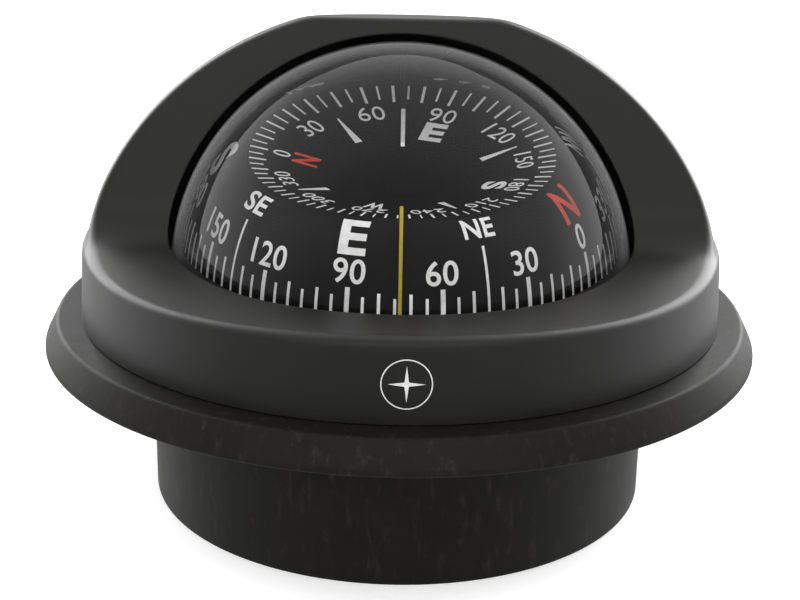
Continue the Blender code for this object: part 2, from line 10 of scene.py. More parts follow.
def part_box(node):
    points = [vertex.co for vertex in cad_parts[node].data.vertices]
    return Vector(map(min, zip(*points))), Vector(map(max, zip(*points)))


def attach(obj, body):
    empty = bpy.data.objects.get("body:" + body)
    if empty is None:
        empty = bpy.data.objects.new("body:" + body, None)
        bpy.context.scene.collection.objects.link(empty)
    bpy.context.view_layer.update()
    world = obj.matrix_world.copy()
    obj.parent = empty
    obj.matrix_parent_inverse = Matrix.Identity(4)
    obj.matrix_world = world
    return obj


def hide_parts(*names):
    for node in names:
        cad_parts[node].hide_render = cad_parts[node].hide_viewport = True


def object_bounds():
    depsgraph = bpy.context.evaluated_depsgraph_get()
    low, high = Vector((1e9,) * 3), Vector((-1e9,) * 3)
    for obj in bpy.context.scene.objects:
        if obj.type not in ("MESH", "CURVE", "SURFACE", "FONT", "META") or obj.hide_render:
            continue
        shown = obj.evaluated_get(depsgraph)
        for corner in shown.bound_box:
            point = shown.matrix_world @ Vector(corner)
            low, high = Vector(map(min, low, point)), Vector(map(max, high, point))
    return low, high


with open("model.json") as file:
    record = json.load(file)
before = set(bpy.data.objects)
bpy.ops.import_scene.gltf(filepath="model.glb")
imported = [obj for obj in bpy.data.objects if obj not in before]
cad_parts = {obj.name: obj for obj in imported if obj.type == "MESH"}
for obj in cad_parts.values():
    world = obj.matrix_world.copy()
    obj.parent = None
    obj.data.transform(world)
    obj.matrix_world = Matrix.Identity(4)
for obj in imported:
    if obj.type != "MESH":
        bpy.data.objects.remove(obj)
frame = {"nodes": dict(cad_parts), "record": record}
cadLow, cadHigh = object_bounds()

mm = 0.001
print("ship compass: frame loaded,", len(frame["nodes"]), "nodes")

# Sizes in this file are millimetres. +Z is up, the bow is +Y, and the helmsman looks from -Y.


def boxOf(node):
    low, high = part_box(node)
    return [value / mm for value in low], [value / mm for value in high]


# Shader helpers


class Wire:  # one socket of a shader; sums and products on it add Math nodes
    def __init__(self, graph, socket):
        self.graph = graph
        self.socket = socket

    def sum(self, operation, first, second):
        return self.graph.node("ShaderNodeMath", {"operation": operation}, {0: first, 1: second})

    def __add__(self, other):
        return self.sum("ADD", self, other)

    def __radd__(self, other):
        return self.sum("ADD", other, self)

    def __sub__(self, other):
        return self.sum("SUBTRACT", self, other)

    def __rsub__(self, other):
        return self.sum("SUBTRACT", other, self)

    def __mul__(self, other):
        return self.sum("MULTIPLY", self, other)

    def __rmul__(self, other):
        return self.sum("MULTIPLY", other, self)

    def __truediv__(self, other):
        return self.sum("DIVIDE", self, other)


class Graph:  # the nodes of a material or of the world
    def __init__(self, tree):
        self.tree = tree

    def node(self, kind, settings=(), sockets=(), out=0):
        made = self.tree.nodes.new(kind)
        for key, value in dict(settings).items():
            if key == "stops":
                self.setStops(made.color_ramp, value)
            else:
                setattr(made, key, value)
        for key, value in dict(sockets).items():
            self.plug(made.inputs[key], value)
        return Wire(self, made.outputs[out])

    def setStops(self, ramp, stops):
        while len(ramp.elements) < len(stops):
            ramp.elements.new(0.5)
        for element, (place, grey) in zip(ramp.elements, stops):
            element.position = place
            element.color = (grey, grey, grey, 1)

    def plug(self, socket, value):
        if isinstance(value, Wire):
            self.tree.links.new(value.socket, socket)
        else:
            socket.default_value = value


class Finish(Graph):  # a material, its Principled shader and the few node shapes used here
    def __init__(self, name, **values):
        self.material = bpy.data.materials.new(name)
        self.material.use_nodes = True
        super().__init__(self.material.node_tree)
        self.shader = self.tree.nodes["Principled BSDF"]
        self.place = self.node("ShaderNodeTexCoord", out="Object")
        for socket, value in values.items():
            self.shader.inputs[socket.replace("_", " ")].default_value = value

    def drive(self, **wires):
        for socket, wire in wires.items():
            self.plug(self.shader.inputs[socket.replace("_", " ")], wire)

    def noise(self, grain, detail=2.0, rough=0.5, stretch=(1, 1, 1)):  # grain is the speck size in mm
        place = self.place
        if stretch != (1, 1, 1):
            place = self.node("ShaderNodeMapping", {}, {"Vector": self.place, "Scale": stretch})
        sockets = {"Vector": place, "Scale": 1 / (grain * mm), "Detail": detail, "Roughness": rough}
        return self.node("ShaderNodeTexNoise", {}, sockets)

    def cells(self, grain, out="Distance"):
        return self.node("ShaderNodeTexVoronoi", {}, {"Vector": self.place, "Scale": 1 / (grain * mm)}, out)

    def ramp(self, wire, *stops):
        return self.node("ShaderNodeValToRGB", {"stops": stops}, {"Fac": wire})

    def mix(self, factor, first, second):
        sockets = {0: factor, 6: (*first, 1) if isinstance(first, tuple) else first}
        sockets[7] = (*second, 1) if isinstance(second, tuple) else second
        return self.node("ShaderNodeMix", {"data_type": "RGBA"}, sockets, 2)

    def facing(self):  # 0 looking straight at the surface, 1 along it
        return self.node("ShaderNodeLayerWeight", {}, {"Blend": 0.5}, "Facing")

    def veil(self, factor, colour):  # a matt film over the whole finish, as thick as factor
        film = self.node("ShaderNodeBsdfDiffuse", {}, {"Color": (*colour, 1)})
        base = Wire(self, self.shader.outputs[0])
        both = self.node("ShaderNodeMixShader", {}, {0: factor, 1: base, 2: film})
        self.plug(self.tree.nodes["Material Output"].inputs["Surface"], both)

    def bump(self, height, depth, strength=1.0, under=None):  # depth in mm
        sockets = {"Height": height, "Distance": depth * mm, "Strength": strength}
        if under:
            sockets["Normal"] = under
        return self.node("ShaderNodeBump", {}, sockets)


def mouldedBlack():
    look = {"grain": 0.42, "fine": 0.16, "depth": 0.035}  # mm
    look.update({"dark": (0.0045, 0.0042, 0.0039), "light": (0.0095, 0.0088, 0.0082)})
    skin = Finish("mouldedBlack", Specular_IOR_Level=0.5)
    patches = skin.noise(16, 3, 0.6)
    grain = skin.noise(look["grain"], 3, 0.6)
    fine = skin.cells(look["fine"])
    specks = skin.ramp(skin.noise(0.5, 4, 0.7), (0.62, 0.0), (0.72, 1.0))
    tone = skin.mix(patches * 0.6 + grain * 0.4, look["dark"], look["light"])
    colour = skin.mix(specks * 0.16, tone, (0.07, 0.066, 0.06))
    height = grain * 0.7 + fine * 0.3
    skin.drive(Base_Color=colour, Roughness=0.36 + patches * 0.10 + grain * 0.10)
    skin.drive(Normal=skin.bump(height, look["depth"], 0.8))
    return skin.material


def rubbedBlack():  # the can below the flange: the same plastic, duller, with scuffs
    skin = Finish("rubbedBlack", Specular_IOR_Level=0.14)
    patches = skin.noise(9, 4, 0.65)
    grain = skin.noise(0.4, 3, 0.6)
    scuffs = skin.ramp(skin.noise(2.2, 5, 0.7, (1, 1, 0.25)), (0.55, 0.0), (0.75, 1.0))
    tone = skin.mix(patches, (0.0045, 0.0045, 0.0038), (0.0085, 0.008, 0.0072))
    colour = skin.mix(scuffs * 0.3, tone, (0.045, 0.041, 0.036))
    skin.drive(Base_Color=colour, Roughness=0.46 + patches * 0.12 - scuffs * 0.05)
    skin.drive(Normal=skin.bump(grain * 0.8 + patches * 0.4, 0.04, 0.5))
    return skin.material


def smoothBlack():  # gimbals, bowl and other mouldings inside the capsule
    skin = Finish("smoothBlack", Specular_IOR_Level=0.3)
    patches = skin.noise(6, 3, 0.6)
    grain = skin.noise(0.3, 2, 0.5)
    skin.drive(Base_Color=skin.mix(patches, (0.006, 0.006, 0.006), (0.014, 0.014, 0.013)))
    skin.drive(Roughness=0.42 + patches * 0.16, Normal=skin.bump(grain, 0.02, 0.4))
    return skin.material


def clearAcrylic():
    look = {"haze": ((0.46, 0.0), (0.64, 0.035), (0.8, 0.22), (0.91, 0.72), (1.0, 1.0))}
    look["white"] = (0.8, 0.8, 0.8)
    skin = Finish("clearAcrylic", Base_Color=(1, 1, 1, 1), Transmission_Weight=1.0, IOR=1.45)
    wipes = skin.ramp(skin.noise(5, 4, 0.7, (0.3, 1, 1)), (0.45, 0.0), (0.8, 1.0))
    skin.drive(Roughness=wipes * 0.012)
    skin.veil(skin.ramp(skin.facing() * (0.97 + wipes * 0.03), *look["haze"]), look["white"])
    return skin.material


def liquidEdge():  # where the acrylic meets the liquid; both bend light alike, so nothing turns here
    skin = Finish("liquidEdge", Transmission_Weight=1.0, IOR=1.0, Roughness=0.0)
    haze = skin.noise(20, 2, 0.5)
    skin.drive(Base_Color=skin.mix(haze, (0.995, 0.995, 0.995), (1.0, 1.0, 1.0)))
    return skin.material


def cardBlack():
    skin = Finish("cardBlack", Specular_IOR_Level=0.25)
    cloud = skin.noise(8, 3, 0.6)
    grain = skin.noise(0.12, 2, 0.5)
    skin.drive(Base_Color=skin.mix(cloud, (0.0035, 0.0035, 0.0033), (0.0062, 0.0062, 0.006)))
    skin.drive(Roughness=0.55 + cloud * 0.15, Normal=skin.bump(grain, 0.012, 0.35))
    return skin.material


def printInk(name, colour, thin):
    skin = Finish(name, Specular_IOR_Level=0.3)
    cover = skin.noise(1.6, 4, 0.6)
    grain = skin.noise(0.09, 2, 0.5)
    skin.drive(Base_Color=skin.mix(skin.ramp(cover, (0.3, 0.0), (0.7, 1.0)), thin, colour))
    skin.drive(Roughness=0.45 + grain * 0.2, Normal=skin.bump(grain, 0.01, 0.4))
    return skin.material


def turnedMetal(name, colour, dark, rough):
    skin = Finish(name, Metallic=1.0)
    lines = skin.noise(0.08, 2, 0.6, (0.12, 0.12, 1))
    cloud = skin.noise(3, 4, 0.6)
    skin.drive(Base_Color=skin.mix(cloud * 0.7 + lines * 0.3, dark, colour))
    skin.drive(Roughness=rough + lines * 0.15, Normal=skin.bump(lines, 0.006, 0.5))
    return skin.material


def softRubber():
    skin = Finish("softRubber", Specular_IOR_Level=0.25)
    cloud = skin.noise(5, 4, 0.6)
    pores = skin.cells(0.35)
    skin.drive(Base_Color=skin.mix(cloud, (0.008, 0.008, 0.008), (0.022, 0.021, 0.02)))
    skin.drive(Roughness=0.72 + cloud * 0.16, Normal=skin.bump(pores, 0.03, 0.4))
    return skin.material


def castNylon():
    skin = Finish("castNylon", Specular_IOR_Level=0.4, Subsurface_Weight=0.1)
    cloud = skin.noise(4, 4, 0.6)
    skin.drive(Base_Color=skin.mix(cloud, (0.62, 0.60, 0.52), (0.78, 0.76, 0.69)))
    skin.drive(Roughness=0.42 + cloud * 0.14, Normal=skin.bump(skin.noise(0.3), 0.015, 0.4))
    return skin.material


def redLens():
    skin = Finish("redLens", Transmission_Weight=0.7, IOR=1.49)
    cloud = skin.noise(3, 3, 0.5)
    skin.drive(Base_Color=skin.mix(cloud, (0.45, 0.01, 0.006), (0.62, 0.03, 0.015)))
    skin.drive(Roughness=0.12 + cloud * 0.1, Normal=skin.bump(skin.cells(0.8), 0.02, 0.4))
    return skin.material


def boardGreen():
    skin = Finish("boardGreen", Coat_Weight=0.5)
    weave = skin.node("ShaderNodeTexChecker", {}, {"Vector": skin.place, "Scale": 1 / (0.4 * mm)}, "Fac")
    cloud = skin.noise(1.5, 3, 0.6)
    skin.drive(Base_Color=skin.mix(cloud * 0.6 + weave * 0.2, (0.008, 0.07, 0.02), (0.02, 0.14, 0.05)))
    skin.drive(Roughness=0.35 + cloud * 0.15, Normal=skin.bump(weave, 0.01, 0.3))
    return skin.material


def rubyJewel():
    skin = Finish("rubyJewel", Transmission_Weight=0.5, IOR=1.76)
    cloud = skin.noise(0.8, 3, 0.6)
    skin.drive(Base_Color=skin.mix(cloud, (0.35, 0.01, 0.05), (0.6, 0.03, 0.1)))
    skin.drive(Roughness=0.05 + cloud * 0.05)
    return skin.material


def paleFloor():
    skin = Finish("paleFloor", Specular_IOR_Level=0.1, Emission_Color=(1, 1, 1, 1), Emission_Strength=0.35)
    cloud = skin.noise(60, 3, 0.5)
    skin.drive(Base_Color=skin.mix(cloud, (0.86, 0.86, 0.86), (0.9, 0.9, 0.9)))
    skin.drive(Roughness=0.8 + cloud * 0.1, Normal=skin.bump(skin.noise(1.2), 0.02, 0.2))
    return skin.material


finishes = {
    "hood": mouldedBlack(),
    "can": rubbedBlack(),
    "inner": smoothBlack(),
    "acrylic": clearAcrylic(),
    "liquid": liquidEdge(),
    "card": cardBlack(),
    "white": printInk("printWhite", (0.88, 0.88, 0.87), (0.74, 0.74, 0.74)),
    "red": printInk("printRed", (0.72, 0.085, 0.06), (0.58, 0.06, 0.045)),
    "yellow": printInk("lubberYellow", (0.45, 0.35, 0.035), (0.38, 0.29, 0.03)),
    "emblem": printInk("emblemGrey", (0.46, 0.46, 0.45), (0.34, 0.34, 0.34)),
    "rubber": softRubber(),
    "steel": turnedMetal("stainlessSteel", (0.62, 0.62, 0.61), (0.45, 0.45, 0.45), 0.26),
    "brass": turnedMetal("turnedBrass", (0.68, 0.5, 0.22), (0.5, 0.36, 0.14), 0.3),
    "magnet": turnedMetal("nickelMagnet", (0.42, 0.42, 0.43), (0.25, 0.25, 0.26), 0.35),
    "nylon": castNylon(),
    "lens": redLens(),
    "board": boardGreen(),
    "jewel": rubyJewel(),
    "floor": paleFloor(),
}

slotFinish = {
    "hood_plastic": "hood", "housing_plastic": "can", "capsule_plastic": "inner", "clear_acrylic": "acrylic",
    "card_black": "card", "rubber": "rubber", "steel": "steel", "brass": "brass", "magnet_metal": "magnet",
    "yellow_paint": "yellow", "white_paint": "white", "sapphire": "jewel", "red_lens": "lens",
    "board_green": "board", "nylon": "nylon",
}
print("finishes:", len(finishes))


# Mesh helpers


def place(name, mesh, finish, body, slot, nodes=(), bend=35):
    piece = bpy.data.objects.new(name, mesh)
    bpy.context.scene.collection.objects.link(piece)
    for key in [finish] if isinstance(finish, str) else finish:
        mesh.materials.append(finishes[key])
    mesh.shade_smooth()
    mesh.set_sharp_from_angle(angle=math.radians(bend))
    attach(piece, body)
    if nodes:
        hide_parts(*nodes)
    return piece


def meshOf(name, points, faces):  # points in mm
    bm = bmesh.new()
    spots = [bm.verts.new(Vector(point) * mm) for point in points]
    for face in faces:
        bm.faces.new([spots[k] for k in face])
    bmesh.ops.recalc_face_normals(bm, faces=bm.faces)
    mesh = bpy.data.meshes.new(name)
    bm.to_mesh(mesh)
    bm.free()
    return mesh


def spun(outline, facets, centre=(0, 0)):  # closed outline of (radius, z), turned about an upright axis
    points = []
    faces = []
    rings = []
    for radius, z in outline:
        if radius < 1e-6:
            rings.append([len(points)] * facets)
            points.append((centre[0], centre[1], z))
            continue
        rings.append(list(range(len(points), len(points) + facets)))
        turns = [math.tau * k / facets for k in range(facets)]
        points += [(centre[0] + radius * math.cos(a), centre[1] + radius * math.sin(a), z) for a in turns]
    for ring, after in zip(rings, rings[1:] + rings[:1]):
        for k in range(facets):
            nextK = (k + 1) % facets
            corners = list(dict.fromkeys([ring[k], ring[nextK], after[nextK], after[k]]))
            if len(corners) > 2:
                faces.append(corners)
    return points, faces


def softened(outline, radius, steps=3):  # closed outline whose corners are rounded off
    soft = []
    count = len(outline)
    for k, corner in enumerate(outline):
        here = Vector(corner)
        before = Vector(outline[k - 1]) - here
        after = Vector(outline[(k + 1) % count]) - here
        cut = min(radius, before.length * 0.45, after.length * 0.45)
        if corner[0] < 1e-6 or cut < 0.01:
            soft.append(tuple(here))
            continue
        start = here + before.normalized() * cut
        end = here + after.normalized() * cut
        for step in range(steps + 1):
            t = step / steps
            soft.append(tuple((1 - t) ** 2 * start + 2 * t * (1 - t) * here + t * t * end))
    return soft


def boxMesh(low, high):
    points = [(x, y, z) for x in (low[0], high[0]) for y in (low[1], high[1]) for z in (low[2], high[2])]
    return points, [(0, 1, 3, 2), (4, 6, 7, 5), (0, 4, 5, 1), (2, 3, 7, 6), (0, 2, 6, 4), (1, 5, 7, 3)]


def joined(*parts):
    points = []
    faces = []
    for more, moreFaces in parts:
        faces += [[k + len(points) for k in face] for face in moreFaces]
        points += more
    return points, faces


def carved(name, mesh, *cutters):  # mesh less each cutter, as a new mesh
    base = bpy.data.objects.new(name + "Base", mesh)
    bpy.context.scene.collection.objects.link(base)
    helpers = [base]
    for number, cutter in enumerate(cutters):
        tool = bpy.data.objects.new(f"{name}Tool{number}", meshOf(name + "Tool", *cutter))
        bpy.context.scene.collection.objects.link(tool)
        helpers.append(tool)
        cut = base.modifiers.new("cut", "BOOLEAN")
        cut.object = tool
        cut.operation = "DIFFERENCE"
    evaluated = base.evaluated_get(bpy.context.evaluated_depsgraph_get())
    result = bpy.data.meshes.new_from_object(evaluated)
    for helper in helpers:
        bpy.data.objects.remove(helper)
    return result


def ringSpots(radius, count, start=0.0):
    turns = [math.radians(start) + math.tau * k / count for k in range(count)]
    return [(radius * math.cos(a), radius * math.sin(a)) for a in turns]


def drills(spots, radius, low, high, facets=28):
    rods = [spun([(0, low), (radius, low), (radius, high), (0, high)], facets, spot) for spot in spots]
    return joined(*rods)


def arcLine(centre, radius, start, end, steps):
    turns = [math.radians(start + (end - start) * k / steps) for k in range(steps + 1)]
    return [(centre[0] + radius * math.cos(a), centre[1] + radius * math.sin(a)) for a in turns]


# Camera, lights and floor

view = {"distance": 377.44, "elevation": 19.11, "aimHeight": 44.97, "lens": 69.48, "roll": 1.0}


def setCamera():
    lift = math.radians(view["elevation"])
    roll = math.radians(view["roll"])
    back = Vector((0, -math.cos(lift), math.sin(lift)))
    right = Vector((1, 0, 0))
    up = back.cross(right)
    turnedRight = right * math.cos(roll) + up * math.sin(roll)
    turnedUp = back.cross(turnedRight)
    spot = Vector((0, 0, view["aimHeight"])) * mm + back * view["distance"] * mm
    data = bpy.data.cameras.new("camera")
    data.lens = view["lens"]
    data.sensor_width = 36
    data.clip_start = 0.01
    camera = bpy.data.objects.new("camera", data)
    camera.matrix_world = Matrix((turnedRight, turnedUp, back)).transposed().to_4x4()
    camera.location = spot
    bpy.context.scene.collection.objects.link(camera)
    bpy.context.scene.camera = camera


studio = {
    "backGlow": 0.75, "frontGlow": 0.2, "sideGlow": 0.6,
    "frontToBack": (-0.9, 0.1), "sideFade": (0.8, 1.16), "sideSlant": 0.6,
    # name, where, how far from the middle of the compass, width, height (mm), watts, seen in gloss
    "panels": (
        ("cardLight", (0.0, -0.6, 1.0), 900, 700, 500, 4.5, False),
        ("faceLight", (0.0, -1.0, 0.35), 1100, 900, 700, 7.0, False),
        ("faceSheen", (0.0, -1.0, 0.5), 1100, 1300, 700, 2.0, True),
        ("leftPanel", (-1.0, 1.0, 0.55), 800, 600, 600, 6.0, True),
        ("rightPanel", (1.0, 1.0, 0.55), 800, 600, 600, 8.0, True),
    ),
}


def setStudio():
    world = bpy.data.worlds.new("studio")
    world.use_nodes = True
    bpy.context.scene.world = world
    sky = Graph(world.node_tree)
    direction = sky.node("ShaderNodeTexCoord", out="Generated")
    aside = sky.node("ShaderNodeSeparateXYZ", {}, {0: direction}, "X")
    ahead = sky.node("ShaderNodeSeparateXYZ", {}, {0: direction}, "Y")
    smooth = {"interpolation_type": "SMOOTHSTEP"}
    low, high = studio["frontToBack"]
    sockets = {"Value": ahead, "From Min": low, "From Max": high}
    sockets.update({"To Min": studio["frontGlow"], "To Max": studio["backGlow"]})
    behind = sky.node("ShaderNodeMapRange", smooth, sockets)  # from the helmsman's side to the bow
    slanted = sky.node("ShaderNodeMath", {"operation": "ABSOLUTE"}, {0: aside}) + ahead * studio["sideSlant"]
    low, high = studio["sideFade"]
    sockets = {"Value": slanted, "From Min": low, "From Max": high, "To Max": studio["sideGlow"]}
    beside = sky.node("ShaderNodeMapRange", smooth, sockets)  # most out to the left and right of the bow
    direct = sky.node("ShaderNodeLightPath", out="Is Camera Ray")
    glow = sky.node("ShaderNodeMix", {}, {0: direct, 2: behind + beside, 3: 1.0})
    backdrop = sky.tree.nodes["Background"]
    sky.plug(backdrop.inputs["Strength"], glow)
    sky.plug(backdrop.inputs["Color"], (1, 1, 1, 1))
    middle = (cadLow + cadHigh) / 2
    for name, where, far, width, height, watts, gloss in studio["panels"]:
        data = bpy.data.lights.new(name, "AREA")
        data.shape = "RECTANGLE"
        data.size = width * mm
        data.size_y = height * mm
        data.energy = watts
        lamp = bpy.data.objects.new(name, data)
        toLamp = Vector(where).normalized()
        lamp.location = middle + toLamp * far * mm
        lamp.rotation_mode = "QUATERNION"
        lamp.rotation_quaternion = toLamp.to_track_quat("Z", "Y")
        lamp.visible_camera = False
        lamp.visible_glossy = gloss
        lamp.visible_transmission = gloss
        bpy.context.scene.collection.objects.link(lamp)


def layFloor():
    far = 4000
    rings = [0, 150, 400, 1000, 2000, far]
    outline = [(radius, -0.05) for radius in rings] + [(far, -20), (0, -20)]
    mesh = meshOf("floor", *spun(outline, 96))
    floor = bpy.data.objects.new("floor", mesh)
    mesh.materials.append(finishes["floor"])
    bpy.context.scene.collection.objects.link(floor)
    floor.visible_glossy = False


setCamera()
setStudio()
layFloor()
bpy.context.scene.view_settings.view_transform = "Standard"
print("camera, lights and floor set")


# Hood: one skin from the lip of the window over the face, the rim and the crown, down to the flange

dome = {"centre": 52.2, "radius": 55.3, "wall": 3.0}
hood = {
    "bore": 57.5,  # radius of the round hollow over the dome, about the dome's centre
    "crown": (76.5, 67.95, 48.15),  # half width, height and level of the widest point
    "shoulder": ((45.2, 76.3), (60.0, 75.55), (61.0, 75.45), (61.8, 75.25), (62.4, 74.95), (62.9, 74.6),
                 (63.4, 74.3), (64.2, 74.0), (65.4, 73.6)),  # level and radius
    "flat": (2.0, 113.2, 6.8),  # y and z of its front edge, and how much it falls aft in degrees
    "lean": 17.0, "facePoint": (-8.9, 80.0), "faceStart": 74.5,
    "apron": (-50.0, 61.45, 0.00275, -22.0),  # lowest point, curve and where the sweep starts
    "rimRound": 1.9, "lipRound": 0.7,
    "skirt": (73.5, 58.3),  # inner radius and underside of the apron
    "lampWindow": ((-6, 50, 60), (6, 63, 66)), "lampPocket": ((-8.4, 60.6, 50), (8.4, 69.4, 67.6)),
    "spokes": 400, "rows": 76,
}


def hoodFrontLine():
    lowY, lowZ, curve, endY = hood["apron"]
    line = [Vector((y, lowZ + curve * (y - lowY) ** 2)) for y in np.linspace(-95, endY, 40)]
    lean = math.tan(math.radians(hood["lean"]))
    faceY, faceZ = hood["facePoint"]
    start = line[-1]
    end = Vector((faceY + (hood["faceStart"] - faceZ) * lean, hood["faceStart"]))
    slope = 2 * curve * (endY - lowY)
    cornerZ = (start.y + slope * (end.x - start.x) - slope * lean * end.y) / (1 - slope * lean)
    corner = Vector((end.x + (cornerZ - end.y) * lean, cornerZ))
    for t in np.linspace(0, 1, 22)[1:]:
        line.append((1 - t) ** 2 * start + 2 * t * (1 - t) * corner + t * t * end)
    line.append(Vector((end.x + (140 - end.y) * lean, 140)))
    return np.array([tuple(point) for point in line])


def distanceTable(line, lowY, lowZ, step, columns, rows):  # how far in front of the line each grid point lies
    ys = lowY + step * np.arange(columns)
    zs = lowZ + step * np.arange(rows)
    spots = np.stack(np.meshgrid(ys, zs, indexing="ij"), -1)
    best = np.full(spots.shape[:2], 1e9)
    signed = np.zeros(spots.shape[:2])
    for a, b in zip(line[:-1], line[1:]):
        along = b - a
        t = np.clip(((spots - a) @ along) / (along @ along), 0, 1)
        gap = spots - (a + t[..., None] * along)
        far = np.hypot(gap[..., 0], gap[..., 1])
        side = along[0] * (spots[..., 1] - a[1]) - along[1] * (spots[..., 0] - a[0])
        nearer = far < best - 1e-9
        best = np.where(nearer, far, best)
        signed = np.where(nearer, np.sign(side) * far, signed)
    return signed


class HoodShape:  # how far a point is outside the hood's outer skin, edges rounded
    def __init__(self):
        self.start = (-110.0, 30.0)
        self.step = 0.5
        self.table = distanceTable(hoodFrontLine(), *self.start, self.step, 420, 220)
        wide, tall, level = hood["crown"]
        heights = np.linspace(65.4, level + tall - 0.01, 500)
        crown = wide * np.sqrt(1 - ((heights - level) / tall) ** 2)
        fade = np.clip((heights - 63.1) / 13.6, 0, 1)
        crown -= 0.33 * (1 - fade * fade * (3 - 2 * fade))
        levels = [z for z, _ in hood["shoulder"][:-1]] + list(heights)
        radii = [r for _, r in hood["shoulder"][:-1]] + list(crown)
        self.levels = np.arange(44, 116.1, 0.05)
        self.radii = np.interp(self.levels, levels, radii)
        kernel = np.hanning(31)
        smooth = np.convolve(np.pad(self.radii, 15, "edge"), kernel / kernel.sum(), "valid")
        self.radii = np.where(self.levels < 108, smooth, self.radii)
        self.slopes = np.gradient(self.radii, self.levels)

    def inFront(self, y, z):
        u = (y - self.start[0]) / self.step
        v = (z - self.start[1]) / self.step
        i = np.clip(u.astype(int), 0, self.table.shape[0] - 2)
        j = np.clip(v.astype(int), 0, self.table.shape[1] - 2)
        a = np.clip(u - i, 0, 1)
        b = np.clip(v - j, 0, 1)
        low = self.table[i, j] * (1 - a) + self.table[i + 1, j] * a
        high = self.table[i, j + 1] * (1 - a) + self.table[i + 1, j + 1] * a
        return low * (1 - b) + high * b

    def outside(self, x, y, z):
        radius = np.interp(z, self.levels, self.radii)
        slope = np.interp(z, self.levels, self.slopes)
        hull = (np.hypot(x, y) - radius) / np.sqrt(1 + slope * slope)
        flatY, flatZ, fall = hood["flat"]
        fall = math.radians(fall)
        flat = (z - flatZ) * math.cos(fall) + (y - flatY) * math.sin(fall)
        shell = softMax(hull, flat, 0.8)
        return softMax(shell, self.inFront(y, z), hood["rimRound"])


def softMax(a, b, blend):
    near = np.clip(1 - np.abs(a - b) / blend, 0, 1)
    return np.maximum(a, b) + near * near * blend / 4


def skinRadius(shape, rays):  # distance from the dome's centre to the skin along each ray
    low = np.full(rays.shape[:-1], 8.0)
    high = np.full(rays.shape[:-1], 100.0)
    for _ in range(28):
        mid = (low + high) / 2
        spots = rays * mid[..., None]
        out = shape.outside(spots[..., 0], spots[..., 1], spots[..., 2] + dome["centre"]) > 0
        high = np.where(out, mid, high)
        low = np.where(out, low, mid)
    return (low + high) / 2


def spokeRays(angles, pole, up, side, turns):  # angles: one row of angles from the pole for each spoke
    outward = np.cos(turns)[:, None] * up + np.sin(turns)[:, None] * side
    return np.cos(angles)[..., None] * pole + np.sin(angles)[..., None] * outward[:, None, :]


def angleAt(height, pole, up, side, turns):  # angle from the pole where a spoke's ray reaches this z share
    a = pole[2]
    b = np.cos(turns) * up[2] + np.sin(turns) * side[2]
    return np.arctan2(b, a) + np.arccos(height / np.hypot(a, b))


